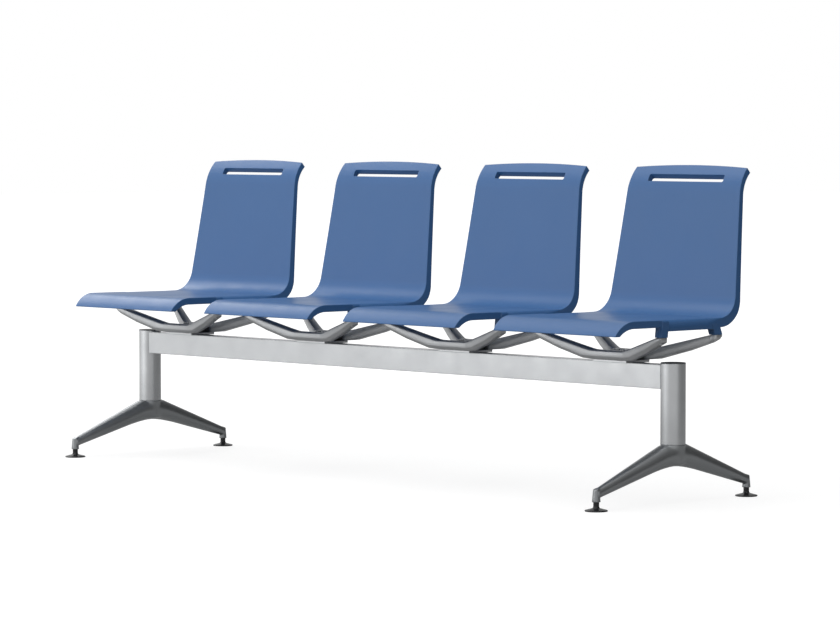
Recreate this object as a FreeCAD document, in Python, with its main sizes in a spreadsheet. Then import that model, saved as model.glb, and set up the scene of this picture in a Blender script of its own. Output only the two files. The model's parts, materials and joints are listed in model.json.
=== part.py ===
import FreeCAD, Part
import math
import os
import Sketcher
from FreeCAD import Placement, Rotation, Vector

# Four-place beam seating. X runs along the beam, Y runs to the back of the seats and Z is up.
# The origin is on the floor, in the middle between the two columns.

DOC = FreeCAD.newDocument("beam_seating")
SHEET = DOC.addObject("Spreadsheet::Sheet", "dims")

CELLS = [
    ("seat_pitch", 540.0, "distance between neighbouring seats"),
    ("column_x", 980.5, "column axis from the middle"),
    ("column_radius", 30.2, "outside radius of the column tube"),
    ("column_wall", 3.0, "wall of the column tube"),
    ("column_foot_z", 142.0, "where the tube stands on the foot"),
    ("column_top_z", 335.2, "top end of the tube"),
    ("cap_height", 1.8, "disc of the end cap"),
    ("beam_low_z", 273.5, "underside of the beam"),
    ("beam_high_z", 331.0, "top of the beam"),
    ("beam_half_depth", 22.0, "half of the beam's depth"),
    ("beam_wall", 3.0, "wall of the beam tube"),
    ("plate_half_x", 55.1, "saddle plate, half length"),
    ("plate_half_y", 40.7, "saddle plate, half depth"),
    ("plate_high_z", 337.0, "top of the saddle plate"),
    ("deck_high_z", 343.0, "top of the web between the bows"),
    ("block_high_z", 354.0, "top of the spacer block"),
    ("arm_end_x", 211.5, "outer end of the arms"),
    ("arm_pad_z", 400.2, "level pads at the arms' ends, under the seat's feet"),
    ("bolt_x", 15.0, "hub bolts from the seat's middle"),
    ("screw_x", 199.0, "seat screws from the seat's middle"),
    ("screw_front_y", -75.5, "front seat screws"),
    ("screw_rear_y", 115.0, "rear seat screws"),
    ("screw_seat_z", 387.0, "face that the seat screws' heads bear on"),
    ("shell_width", 420.0, "seat shell, widest"),
    ("shell_top_half", 182.2, "half width of the back, at its very top"),
    ("lip_half", 203.0, "half width at the front lip"),
    ("nose_y", -234.4, "front lip"),
    ("nose_z", 407.0, "underside of the front lip"),
    ("pan_high_z", 442.2, "seat surface at the front"),
    ("pan_low_z", 440.0, "seat surface at the back"),
    ("pan_under_z", 424.3, "underside of the seat"),
    ("nose_radius", 70.0, "waterfall front, upper side"),
    ("nose_under_radius", 65.0, "waterfall front, underside"),
    ("crook_radius", 60.0, "hollow between seat and back"),
    ("crook_outer_radius", 72.0, "outside of that bend"),
    ("curl_radius", 110.0, "front of the curled top"),
    ("curl_rear_radius", 84.7, "back of the curled top"),
    ("crest_z", 803.4, "highest point of the back"),
    ("slot_half", 124.0, "hand slot, half length"),
    ("slot_height", 19.6, "hand slot, measured along the surface"),
    ("band_z", 414.5, "underside of the side bands"),
    ("rim_radius", 1.5, "rounding of the shell's rim"),
    ("roll_radius", 20.0, "rolled side edge of the pan, between the feet"),
    ("post_inner_x", 191.0, "inner side of the seat's four feet"),
    ("foot_hub_z", 87.0, "underside of the foot's round hub"),
    ("glide_y", 262.5, "glides, from the column's plane"),
    ("glide_radius", 27.35, "disc of the glide"),
    ("glide_neck_radius", 7.0, "neck of the glide"),
    ("socket_radius", 10.3, "round end of the foot's arms, at its foot"),
    ("socket_draft", 3.0, "how much narrower its radius is at the top"),
    ("socket_low_z", 21.5, "underside of the round ends"),
    ("stem_radius", 5.0, "stem of the glide"),
    ("screw_radius", 2.5, "shank of the seat screws"),
    ("screw_head_radius", 4.75, "head of the seat screws"),
    ("insert_radius", 3.5, "threaded inserts in the seat's feet"),
]

for line, (alias, size, note) in enumerate(CELLS, start=1):
    SHEET.set("A%d" % line, note)
    SHEET.set("B%d" % line, str(size))
    SHEET.setAlias("B%d" % line, alias)
DOC.recompute()

PIECES = []


def val(size):
    """A number, or the value of an expression on the sheet."""
    if isinstance(size, str):
        return float(SHEET.evalExpression(size))
    return float(size)


def new_body(label, x=0.0, y=0.0):
    body = DOC.addObject("PartDesign::Body", label)
    body.Label = label
    body.AllowCompound = True
    body.Placement = Placement(Vector(val(x), val(y), 0), Rotation())
    if isinstance(x, str):
        body.setExpression("Placement.Base.x", x)
    if isinstance(y, str):
        body.setExpression("Placement.Base.y", y)
    PIECES.append(body)
    return body


def repeat(body, label, x, y=0.0):
    """The same piece again in another place."""
    link = DOC.addObject("App::Link", label)
    link.Label = label
    link.LinkedObject = body
    link.Placement = Placement(Vector(val(x), val(y), 0), Rotation())
    link.setExpression("Placement.Base.x", x)
    if isinstance(y, str):
        link.setExpression("Placement.Base.y", y)
    PIECES.append(link)


def sketch_on(body, role, name, shift=0.0, lift=0.0, tilt=0.0):
    """Sketch on an origin plane, moved along its normal and tilted about its own X."""
    sketch = body.newObject("Sketcher::SketchObject", name)
    plane = [item for item in body.Origin.OriginFeatures if item.Role == role][0]
    sketch.AttachmentSupport = [(plane, "")]
    sketch.MapMode = "FlatFace"
    base = Vector(0, val(lift), val(shift))
    sketch.AttachmentOffset = Placement(base, Rotation(Vector(1, 0, 0), tilt))
    if isinstance(shift, str):
        sketch.setExpression("AttachmentOffset.Base.z", shift)
    return sketch


def pin_point(sketch, curve, point, x, y):
    """Fix one point of the sketch at x, y, measured from its origin."""
    for kind, axis, size in (("DistanceX", -2, x), ("DistanceY", -1, y)):
        if abs(val(size)) < 1e-9:
            sketch.addConstraint(Sketcher.Constraint("PointOnObject", curve, point, axis))
            continue
        index = sketch.addConstraint(Sketcher.Constraint(kind, -1, 1, curve, point, val(size)))
        if isinstance(size, str):
            sketch.setExpression("Constraints[%d]" % index, size)


def outline(sketch, corners):
    """Closed loop. A corner is x, y, or x, y, radius, turn where an arc leads to the next one.

    Turn is 1 where the arc's centre is on the left of the way, and -1 where it is on the right.
    """
    spots = [Vector(val(corner[0]), val(corner[1]), 0) for corner in corners]
    ends = []
    for number, corner in enumerate(corners):
        start = spots[number]
        stop = spots[(number + 1) % len(spots)]
        if len(corner) == 2:
            ends.append((sketch.addGeometry(Part.LineSegment(start, stop)), 1, 2))
            continue
        radius, turn = val(corner[2]), corner[3]
        chord = stop - start
        left = Vector(-chord.y, chord.x, 0).normalize()
        reach = math.sqrt(radius ** 2 - chord.Length ** 2 / 4)
        centre = (start + stop) * 0.5 + left * (turn * reach)
        first, last = (start, stop) if turn > 0 else (stop, start)
        angle0 = math.atan2(first.y - centre.y, first.x - centre.x)
        angle1 = math.atan2(last.y - centre.y, last.x - centre.x)
        if angle1 < angle0:
            angle1 += 2 * math.pi
        circle = Part.Circle(centre, Vector(0, 0, 1), radius)
        curve = sketch.addGeometry(Part.ArcOfCircle(circle, angle0, angle1))
        index = sketch.addConstraint(Sketcher.Constraint("Radius", curve, radius))
        if isinstance(corner[2], str):
            sketch.setExpression("Constraints[%d]" % index, corner[2])
        ends.append((curve, 1, 2) if turn > 0 else (curve, 2, 1))
    for number, corner in enumerate(corners):
        curve, begin, finish = ends[number]
        following = ends[(number + 1) % len(ends)]
        sketch.addConstraint(
            Sketcher.Constraint("Coincident", curve, finish, following[0], following[1])
        )
        pin_point(sketch, curve, begin, corner[0], corner[1])


def oblong(sketch, x0, y0, x1, y1):
    outline(sketch, [(x0, y0), (x1, y0), (x1, y1), (x0, y1)])


def rounds(sketch, centres, radius):
    """Equal circles."""
    for x, y in centres:
        circle = Part.Circle(Vector(val(x), val(y), 0), Vector(0, 0, 1), val(radius))
        curve = sketch.addGeometry(circle)
        index = sketch.addConstraint(Sketcher.Constraint("Radius", curve, val(radius)))
        if isinstance(radius, str):
            sketch.setExpression("Constraints[%d]" % index, radius)
        pin_point(sketch, curve, 3, x, y)


def hexagons(sketch, centres, flats):
    """Equal hexagons, measured across their flats."""
    reach = flats / math.sqrt(3)
    for x, y in centres:
        ring = [math.radians(60 * step) for step in range(6)]
        outline(
            sketch,
            [(val(x) + reach * math.cos(a), val(y) + reach * math.sin(a)) for a in ring],
        )


def pad(body, sketch, name, length, symmetric=False, back=False):
    feature = body.newObject("PartDesign::Pad", name)
    feature.Profile = sketch
    feature.SideType = "Symmetric" if symmetric else "One side"
    feature.Reversed = back
    feature.Length = val(length)
    if isinstance(length, str):
        feature.setExpression("Length", length)
    DOC.recompute()
    return feature


def pocket(body, sketch, name, length, symmetric=False, back=False):
    DOC.recompute()
    before = body.Shape.Volume
    feature = body.newObject("PartDesign::Pocket", name)
    feature.Profile = sketch
    feature.SideType = "Symmetric" if symmetric else "One side"
    feature.Reversed = back
    feature.Length = val(length)
    if isinstance(length, str):
        feature.setExpression("Length", length)
    DOC.recompute()
    if not body.Shape.Volume < before - 0.5:
        raise ValueError(name + " cuts nothing")
    return feature


def mirror(body, name, features):
    """The same features on the other side of the middle plane."""
    feature = body.newObject("PartDesign::Mirrored", name)
    feature.Originals = features
    plane = [item for item in body.Origin.OriginFeatures if item.Role == "YZ_Plane"][0]
    feature.MirrorPlane = (plane, [""])
    body.Tip = feature
    DOC.recompute()
    return feature


def revolve(body, sketch, name):
    feature = body.newObject("PartDesign::Revolution", name)
    feature.Profile = sketch
    feature.ReferenceAxis = (sketch, ["V_Axis"])
    feature.Angle = 360
    DOC.recompute()
    return feature


def dress(body, kind, name, size, test):
    """Fillet or chamfer on the edges that pass the test."""
    DOC.recompute()
    base = body.Tip
    names = []
    for number, edge in enumerate(base.Shape.Edges, start=1):
        if test(edge):
            names.append("Edge%d" % number)
    feature = body.newObject("PartDesign::" + kind, name)
    feature.Base = (base, names)
    measure = "Radius" if kind == "Fillet" else "Size"
    setattr(feature, measure, val(size))
    if isinstance(size, str):
        feature.setExpression(measure, size)
    DOC.recompute()
    return feature


def spots_of(edge):
    return [vertex.Point for vertex in edge.Vertexes]


# The seat shell is a closed, thick moulding: a flat pan with a waterfall front, a straight back
# that narrows upwards, and a top that curls to the rear.

BACK_LEAN = math.atan2(35.4, 243.6)
CURL_START = Vector(215.9, 735.0, 0)


def curl_point(angle, inset=0.0):
    """Point on the curl's front surface, where it leans back by this angle."""
    radius = val("dims.curl_radius")
    middle = CURL_START + Vector(math.cos(BACK_LEAN), -math.sin(BACK_LEAN), 0) * radius
    reach = radius - inset
    return middle + Vector(-math.cos(angle), math.sin(angle), 0) * reach


ROLL_Z = 441.36


def on_rim(edge):
    """Edges of the sheet's rim: all but the straight ones across it, where bend meets flat."""
    a, b = spots_of(edge)
    return abs(a.x - b.x) < 60.0 or a.z > 780.0 or a.z < 410.0


def roll_corner(sketch, hand, radius):
    """What a rolled edge takes off the corner between the pan's surface and its side."""
    side = "%d * dims.shell_width / 2" % hand
    start = "%d * (dims.shell_width / 2 - %s)" % (hand, radius)
    outline(sketch, [
        (start, 0.0, radius, -hand),
        (side, "0 - " + radius),
        (216.0 * hand, "0 - " + radius),
        (216.0 * hand, 6.0),
        (start, 6.0),
    ])


def seat_shell(number, x):
    label = "seat_shell_%d" % number
    body = new_body(label, x)

    middle_z = CURL_START.y - math.sin(BACK_LEAN) * val("dims.curl_radius")
    crest_angle = math.asin((val("dims.crest_z") - middle_z) / val("dims.curl_radius"))
    crest = curl_point(crest_angle)
    crest_rear = curl_point(crest_angle, 16.6)
    side = sketch_on(body, "YZ_Plane", label + "_side")
    outline(side, [
        ("dims.nose_y", "dims.nose_z", "dims.nose_radius", -1),
        (-173.5, "dims.pan_high_z"),
        (121.1, "dims.pan_low_z", "dims.crook_radius", 1),
        (180.5, 491.4),
        (CURL_START.x, CURL_START.y, "dims.curl_radius", -1),
        (crest.x, crest.y),
        (crest_rear.x, crest_rear.y, "dims.curl_rear_radius", 1),
        (228.5, 730.0),
        (197.4, 480.6, "dims.crook_outer_radius", -1),
        (126.0, 417.5),
        (97.0, "dims.pan_under_z"),
        (-174.5, "dims.pan_under_z", "dims.nose_under_radius", 1),
        (-218.5, "dims.nose_z"),
    ])
    pad(body, side, label + "_sheet", "dims.shell_width", symmetric=True)

    # The back narrows upwards, in a very shallow curve on each side.
    taper = sketch_on(body, "XZ_Plane", label + "_taper")
    for hand in (1, -1):
        outline(taper, [
            ("dims.shell_width / 2 * %d" % hand, 450.0, 17000.0, -hand),
            ("dims.shell_top_half * %d" % hand, 810.0),
            (240.0 * hand, 810.0),
            (240.0 * hand, 450.0),
        ])
    pocket(body, taper, label + "_narrowing", 620.0, symmetric=True)

    # In plan the pan draws in towards the lip.
    plan = sketch_on(body, "XY_Plane", label + "_plan")
    for hand in (1, -1):
        outline(plan, [
            ("dims.shell_width / 2 * %d" % hand, -84.0, 1611.0, -hand),
            ("dims.lip_half * %d" % hand, "dims.nose_y"),
            ("dims.lip_half * %d" % hand, -245.0),
            (240.0 * hand, -245.0),
            (240.0 * hand, -84.0),
        ])
    pocket(body, plan, label + "_lip", 1800.0, symmetric=True)

    # The top edge is arched. It is cut square to the curl, like the end face.
    arch = sketch_on(body, "XZ_Plane", label + "_arch", -crest.x, crest.y,
                     -math.degrees(crest_angle))
    outline(arch, [
        (210.0, -11.1, 1990.0, 1),
        (-210.0, -11.1),
        (-210.0, 30.0),
        (210.0, 30.0),
    ])
    pocket(body, arch, label + "_crown", 60.0, symmetric=True)

    # The rim of the sheet is rounded all round.
    dress(body, "Fillet", label + "_rim", "dims.rim_radius", on_rim)

    # Side bands stiffen the pan between the feet, which stand on the spider's arms.
    band = sketch_on(body, "YZ_Plane", label + "_band", 192.0)
    outline(band, [
        (-63.0, "dims.band_z"),
        (108.0, "dims.band_z"),
        (108.0, 432.0),
        (-63.0, 432.0),
    ])
    band_pad = pad(body, band, label + "_band_pad", 18.0)
    front = sketch_on(body, "YZ_Plane", label + "_front_post", "dims.post_inner_x")
    outline(front, [
        (-86.4, "dims.arm_pad_z"),
        (-64.7, "dims.arm_pad_z"),
        (-60.0, 441.0),
        (-81.7, 441.0),
    ])
    front_pad = pad(body, front, label + "_front_foot", 21.8)
    rear = sketch_on(body, "YZ_Plane", label + "_rear_post", "dims.post_inner_x")
    outline(rear, [
        (103.4, "dims.arm_pad_z"),
        (128.8, "dims.arm_pad_z"),
        (117.7, 427.0),
        (92.3, 427.0),
    ])
    rear_pad = pad(body, rear, label + "_rear_foot", 20.3)
    mirror(body, label + "_other_side", [band_pad, front_pad, rear_pad])

    # Between the feet the pan rolls over into the band.
    fall = math.degrees(math.atan2(val("dims.pan_high_z - dims.pan_low_z"), 121.1 + 173.5))
    roll = sketch_on(body, "XZ_Plane", label + "_roll", 60.5, ROLL_Z, fall)
    for hand in (1, -1):
        roll_corner(roll, hand, "dims.roll_radius")
    pocket(body, roll, label + "_rolled_edge", 140.5)
    # The front feet's tops are rounded over.
    top = sketch_on(body, "XZ_Plane", label + "_foot_top", 60.5, ROLL_Z, fall)
    for hand in (1, -1):
        outline(top, [
            (206.8 * hand, 0.0, 6.0, -hand),
            (212.8 * hand, -6.0),
            (216.0 * hand, -6.0),
            (216.0 * hand, 6.0),
            (206.8 * hand, 6.0),
        ])
    pocket(body, top, label + "_foot_top_round", 32.0, back=True)

    # Bores for the threaded inserts.
    bores = sketch_on(body, "XY_Plane", label + "_bores", 390.0)
    rounds(bores, SCREWS, "dims.insert_radius")
    pocket(body, bores, label + "_bore", 24.0, back=True)

    # Hand slot through the curl, square to the surface there.
    slot_angle = math.asin((771.7 - middle_z) / val("dims.curl_radius"))
    spot = curl_point(slot_angle)
    slot = sketch_on(body, "XZ_Plane", label + "_slot", -spot.x, spot.y,
                     -math.degrees(slot_angle))
    reach, rise, bend = "dims.slot_half", "dims.slot_height / 2", 4.0
    outline(slot, [
        (reach + " - 4", "0 - " + rise, bend, 1),
        (reach, "4 - " + rise),
        (reach, rise + " - 4", bend, 1),
        (reach + " - 4", rise),
        ("4 - " + reach, rise, bend, 1),
        ("0 - " + reach, rise + " - 4"),
        ("0 - " + reach, "4 - " + rise, bend, 1),
        ("4 - " + reach, "0 - " + rise),
    ])
    pocket(body, slot, label + "_hand_slot", 70.0, symmetric=True)
    return body


SCREWS = [
    (side + "dims.screw_x", depth)
    for side in ("", "-")
    for depth in ("dims.screw_front_y", "dims.screw_rear_y")
]


# The spider's bows in elevation and in plan, as straight lines through X and Z, or X and Y.
ARM_STATIONS = (42.0, 54.0, 66.0, 80.0, 110.0, 145.0, 182.0, 196.0, 204.0, 211.5)
ARM_TOP = [(42.0, 359.7), (54.0, 360.6), (66.0, 363.1), (196.0, 400.2), (211.5, 400.2)]
ARM_UNDERSIDE = [
    (42.0, 337.0), (66.0, 337.0), (80.0, 339.2), (145.0, 360.6),
    (196.0, 382.0), (204.0, 385.5), (211.5, 390.0),
]
FRONT_BOW = {
    "way": -1,
    "outer": [(42.0, 53.0), (54.0, 53.8), (66.0, 56.0), (196.0, 88.0), (211.5, 88.0)],
    "inner": [(42.0, 26.0), (54.0, 27.0), (66.0, 30.0), (196.0, 62.0), (211.5, 62.0)],
    "bevel": [(42.0, 6.0), (66.0, 7.0), (145.0, 8.0), (196.0, 4.0), (211.5, 3.0)],
}
REAR_BOW = {
    "way": 1,
    "outer": [(42.0, 53.0), (54.0, 55.0), (66.0, 60.5), (192.0, 129.0), (211.5, 129.0)],
    "inner": [(42.0, 24.0), (54.0, 25.5), (66.0, 31.0), (192.0, 104.0), (211.5, 104.0)],
    "bevel": [(42.0, 6.0), (66.0, 7.0), (145.0, 8.0), (196.0, 4.0), (211.5, 3.0)],
}
BEVEL_SHARE = 0.4
CORNER = 7.0


def along(line, x):
    """Height of a line of straight runs at x."""
    for (x0, y0), (x1, y1) in zip(line, line[1:]):
        if x <= x1:
            return y0 + (y1 - y0) * (x - x0) / (x1 - x0)
    raise ValueError("x lies outside the line")


def bow(body, name, shape):
    """One bow, lofted straight from station to station, from the left tip to the right one."""
    sections = []
    way = shape["way"]
    places = [-x for x in reversed(ARM_STATIONS)] + list(ARM_STATIONS)
    for step, x in enumerate(places):
        reach = abs(x)
        high = along(ARM_TOP, reach)
        low = along(ARM_UNDERSIDE, reach)
        outer = along(shape["outer"], reach)
        inner = along(shape["inner"], reach)
        section = sketch_on(body, "YZ_Plane", "%s_%d" % (name, step), x)
        outline(section, [
            (way * outer, high),
            (way * outer, low + BEVEL_SHARE * (high - low)),
            (way * (outer - along(shape["bevel"], reach)), low),
            (way * inner, low),
            (way * inner, high),
        ])
        sections.append(section)
    loft = body.newObject("PartDesign::AdditiveLoft", name)
    loft.Profile = sections[0]
    loft.Sections = sections[1:]
    loft.Ruled = True
    DOC.recompute()


def spider(number, x):
    """Cast support: two bows across the beam, joined by a web, with four rising arms."""
    label = "spider_%d" % number
    body = new_body(label, x)
    bow(body, label + "_front_bow", FRONT_BOW)
    bow(body, label + "_rear_bow", REAR_BOW)
    web = sketch_on(body, "XY_Plane", label + "_web", "dims.plate_high_z")
    oblong(web, -52.0, -30.0, 52.0, 28.0)
    pad(body, web, label + "_web_pad", "dims.deck_high_z - dims.plate_high_z")

    # The pads at the ends of the arms have round corners.
    corners = sketch_on(body, "XY_Plane", label + "_corners", 370.0)
    for hand in (1, -1):
        start = "%d * (dims.arm_end_x - %.1f)" % (hand, CORNER)
        for edge_y, way in ((-88.0, 1), (-62.0, -1), (104.0, 1), (129.0, -1)):
            outline(corners, [
                (start, edge_y, CORNER, hand * way),
                ("%d * dims.arm_end_x" % hand, edge_y + CORNER * way),
                (216.0 * hand, edge_y + CORNER * way),
                (216.0 * hand, edge_y - 4.0 * way),
                (start, edge_y - 4.0 * way),
            ])
    pocket(body, corners, label + "_round_corners", 60.0, back=True)

    holes = sketch_on(body, "XY_Plane", label + "_holes", "dims.plate_high_z")
    rounds(holes, [("dims.bolt_x", 0.0), ("0 - dims.bolt_x", 0.0)], 4.5)
    pocket(body, holes, label + "_hub_holes", 20.0, back=True)
    holes = sketch_on(body, "XY_Plane", label + "_pad_holes", 370.0)
    rounds(holes, SCREWS, "dims.screw_radius + 0.25")
    pocket(body, holes, label + "_seat_holes", 60.0, back=True)
    sinks = sketch_on(body, "XY_Plane", label + "_sinks", "dims.screw_seat_z")
    rounds(sinks, SCREWS, "dims.screw_head_radius + 0.55")
    pocket(body, sinks, label + "_spot_faces", 30.0)
    return body


def mirrored_corners(corners):
    """The same run of corners on the other side of the Y axis, in reverse order."""
    result = []
    count = len(corners)
    for number in range(count - 1, -1, -1):
        corner = corners[number]
        x = "0 - (%s)" % corner[0] if isinstance(corner[0], str) else -corner[0]
        before = corners[number - 1] if number else ()
        result.append((x, corner[1]) + tuple(before[2:]))
    return result


def turned(label, x, y, profile):
    """A piece turned about a vertical axis, from its right half profile."""
    body = new_body(label, x, y)
    half = sketch_on(body, "XZ_Plane", label + "_half")
    outline(half, profile)
    revolve(body, half, label + "_turning")
    return body


def column(side, hand):
    x = "%s dims.column_x" % hand
    bore = "dims.column_radius - dims.column_wall"
    tube = new_body("column_" + side, x)
    ring = sketch_on(tube, "XY_Plane", tube.Label + "_ring", "dims.column_foot_z")
    rounds(ring, [(0.0, 0.0)], "dims.column_radius")
    rounds(ring, [(0.0, 0.0)], bore)
    pad(tube, ring, tube.Label + "_tube", "dims.column_top_z - dims.column_foot_z")

    turned("column_cap_" + side, x, 0.0, [
        (0.0, 320.0),
        (25.5, 320.0),
        (27.0, 322.0),
        (27.0, "dims.column_top_z"),
        ("dims.column_radius", "dims.column_top_z"),
        ("dims.column_radius", "dims.column_top_z + dims.cap_height - 1", 1.0, 1),
        ("dims.column_radius - 1", "dims.column_top_z + dims.cap_height"),
        (0.0, "dims.column_top_z + dims.cap_height"),
    ])
    turned("column_nut_plate_" + side, x, 0.0, [
        (6.0, 152.0),
        (bore, 152.0),
        (bore, 166.0),
        (6.0, 166.0),
    ])


def beam():
    body = new_body("beam")
    ring = sketch_on(body, "YZ_Plane", "beam_ring")
    oblong(ring, "-dims.beam_half_depth", "dims.beam_low_z",
           "dims.beam_half_depth", "dims.beam_high_z")
    oblong(ring, "dims.beam_wall - dims.beam_half_depth", "dims.beam_low_z + dims.beam_wall",
           "dims.beam_half_depth - dims.beam_wall", "dims.beam_high_z - dims.beam_wall")
    pad(body, ring, "beam_tube", "2 * dims.column_x - 41.4", symmetric=True)
    # Both ends are coped to the round columns.
    cope = sketch_on(body, "XY_Plane", "beam_cope")
    rounds(cope, [("dims.column_x", 0.0), ("-dims.column_x", 0.0)], "dims.column_radius")
    pocket(body, cope, "beam_coping", 900.0, symmetric=True)
    # Holes for the rivet nuts under each seat.
    nuts = sketch_on(body, "XY_Plane", "beam_nut_holes", "dims.beam_high_z")
    rounds(nuts, HUB_BOLTS, 6.5)
    pocket(body, nuts, "beam_nut_bores", 10.0)


SEATS = ["dims.seat_pitch * %.1f" % step for step in (-1.5, -0.5, 0.5, 1.5)]
HUB_BOLTS = [(seat + sign + "dims.bolt_x", 0.0) for seat in SEATS for sign in (" + ", " - ")]


def seat_fixings(number, x):
    """What holds one spider on the beam and one shell on its spider."""
    plate = new_body("saddle_plate_%d" % number, x)
    area = sketch_on(plate, "XY_Plane", plate.Label + "_area", "dims.beam_high_z")
    oblong(area, "-dims.plate_half_x", "-dims.plate_half_y",
           "dims.plate_half_x", "dims.plate_half_y")
    rounds(area, [("dims.bolt_x", 0.0), ("-dims.bolt_x", 0.0)], 8.5)
    pad(plate, area, plate.Label + "_pad", "dims.plate_high_z - dims.beam_high_z")

    block = new_body("spacer_block_%d" % number, x)
    area = sketch_on(block, "XY_Plane", block.Label + "_area", "dims.deck_high_z")
    oblong(area, -52.0, -25.6, 52.0, 23.6)
    rounds(area, [("dims.bolt_x", 0.0), ("-dims.bolt_x", 0.0)], 4.5)
    pad(block, area, block.Label + "_pad", "dims.block_high_z - dims.deck_high_z")

    bolts = new_body("hub_bolts_%d" % number, x)
    pair = [("dims.bolt_x", 0.0), ("-dims.bolt_x", 0.0)]
    shank = sketch_on(bolts, "XY_Plane", bolts.Label + "_shanks", 316.0)
    rounds(shank, pair, 4.0)
    pad(bolts, shank, bolts.Label + "_shank", "dims.block_high_z - 316")
    flange = sketch_on(bolts, "XY_Plane", bolts.Label + "_flanges", "dims.block_high_z")
    rounds(flange, pair, 8.0)
    pad(bolts, flange, bolts.Label + "_flange", 1.8)
    head = sketch_on(bolts, "XY_Plane", bolts.Label + "_heads", "dims.block_high_z + 1.8")
    hexagons(head, pair, 13.0)
    pad(bolts, head, bolts.Label + "_head", 6.0)

    screws = new_body("seat_screws_%d" % number, x)
    shank = sketch_on(screws, "XY_Plane", screws.Label + "_shanks", "dims.screw_seat_z")
    rounds(shank, SCREWS, "dims.screw_radius")
    pad(screws, shank, screws.Label + "_shank", 24.0)
    head = sketch_on(screws, "XY_Plane", screws.Label + "_heads", "dims.screw_seat_z")
    rounds(head, SCREWS, "dims.screw_head_radius")
    pad(screws, head, screws.Label + "_head", 2.8, back=True)

    inserts = new_body("seat_inserts_%d" % number, x)
    ring = sketch_on(inserts, "XY_Plane", inserts.Label + "_rings", 402.2)
    rounds(ring, SCREWS, "dims.insert_radius")
    rounds(ring, SCREWS, "dims.screw_radius")
    pad(inserts, ring, inserts.Label + "_ring", 11.8)


def foot_station(y):
    """Half width, underside and ridge of the foot at this distance from the column's axis."""
    reach = abs(y)
    if reach < 40:
        return {0: (y, 27.6, 87.0, 147.0), 35: (y, 27.2, 85.0, 143.2)}[reach]
    half = 10.3 + 14.0 * (262.5 - reach) / 192.5
    return (y, half, 79.0 - 0.263 * (reach - 70.0), 131.0 - 0.398 * (reach - 66.0))


def foot_loft(body, name, places, ruled):
    """Arm of the foot: oval sections, flat underneath."""
    sections = []
    for step, place in enumerate(places):
        y, half, low, high = foot_station(place)
        section = sketch_on(body, "XZ_Plane", "%s_%d" % (name, step), -y)
        rise = 0.42 * (high - low)
        lower = 0.9 * math.hypot(0.5 * half, rise)
        upper = math.sqrt(0.5) * math.hypot(half, high - low - rise)
        outline(section, [
            (-0.5 * half, low),
            (0.5 * half, low, lower, 1),
            (half, low + rise, upper, 1),
            (0.0, high, upper, 1),
            (-half, low + rise, lower, 1),
        ])
        sections.append(section)
    loft = body.newObject("PartDesign::AdditiveLoft", name)
    loft.Profile = sections[0]
    loft.Sections = sections[1:]
    loft.Ruled = ruled
    DOC.recompute()


def foot(side, hand):
    """Cast foot: two tapering arms over a low arch, with a round socket at each end."""
    label = "foot_" + side
    x = "%s dims.column_x" % hand
    body = new_body(label, x)
    foot_loft(body, label + "_middle", (-105, -70, -35, 0, 35, 70, 105), False)
    foot_loft(body, label + "_front_arm", (-262.5, -105), True)
    foot_loft(body, label + "_rear_arm", (105, 262.5), True)

    # The hub goes on straight down from the column.
    hub = sketch_on(body, "XY_Plane", label + "_hub", "dims.foot_hub_z")
    rounds(hub, [(0.0, 0.0)], "dims.column_radius")
    pad(body, hub, label + "_hub_pad", "dims.column_foot_z - dims.foot_hub_z")
    # The column stands on a flat ring.
    ring = sketch_on(body, "XY_Plane", label + "_ring", "dims.column_foot_z")
    rounds(ring, [(0.0, 0.0)], "dims.column_radius + 0.3")
    pocket(body, ring, label + "_seat", 30.0, back=True)

    # Round sockets for the glides, with some draft. Their tops slope like the arms.
    ends = [(0.0, "dims.glide_y"), (0.0, "-dims.glide_y")]
    for name, place in zip(("rear", "front"), ends):
        foot_end = sketch_on(body, "XY_Plane", "%s_%s_socket_foot" % (label, name), "dims.socket_low_z")
        rounds(foot_end, [place], "dims.socket_radius")
        top_end = sketch_on(body, "XY_Plane", "%s_%s_socket_top" % (label, name), 55.0)
        rounds(top_end, [place], "dims.socket_radius - dims.socket_draft")
        loft = body.newObject("PartDesign::AdditiveLoft", "%s_%s_socket" % (label, name))
        loft.Profile = foot_end
        loft.Sections = [top_end]
        loft.Ruled = True
        DOC.recompute()
    tops = sketch_on(body, "YZ_Plane", label + "_tops")
    for way in (1, -1):
        outline(tops, [
            (250.0 * way, 57.8),
            (290.0 * way, 41.8),
            (290.0 * way, 70.0),
            (250.0 * way, 70.0),
        ])
    pocket(body, tops, label + "_top_slope", 60.0, symmetric=True)
    bores = sketch_on(body, "XY_Plane", label + "_glide_bores", "dims.socket_low_z")
    rounds(bores, ends, "dims.stem_radius + 0.3")
    pocket(body, bores, label + "_glide_bore", 22.5, back=True)

    # Spigot that centres the column, and the bolt hole up through the crown.
    spigot = sketch_on(body, "XY_Plane", label + "_spigot", 130.0)
    rounds(spigot, [(0.0, 0.0)], 26.9)
    pad(body, spigot, label + "_centring", 22.0)
    bolt = sketch_on(body, "XY_Plane", label + "_bolt", 80.0)
    rounds(bolt, [(0.0, 0.0)], 6.6)
    pocket(body, bolt, label + "_bolt_hole", 90.0, back=True)
    rounds_sketch = sketch_on(body, "XY_Plane", label + "_sink", 80.0)
    rounds(rounds_sketch, [(0.0, 0.0)], 12.0)
    pocket(body, rounds_sketch, label + "_bolt_recess", 28.0, back=True)

    bolt = new_body("foot_bolt_" + side, x)
    shank = sketch_on(bolt, "XY_Plane", bolt.Label + "_shank", 108.0)
    rounds(shank, [(0.0, 0.0)], 6.0)
    pad(bolt, shank, bolt.Label + "_stem", 58.0)
    head = sketch_on(bolt, "XY_Plane", bolt.Label + "_head", 108.0)
    hexagons(head, [(0.0, 0.0)], 18.0)
    pad(bolt, head, bolt.Label + "_hexagon", 10.0, back=True)


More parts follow.
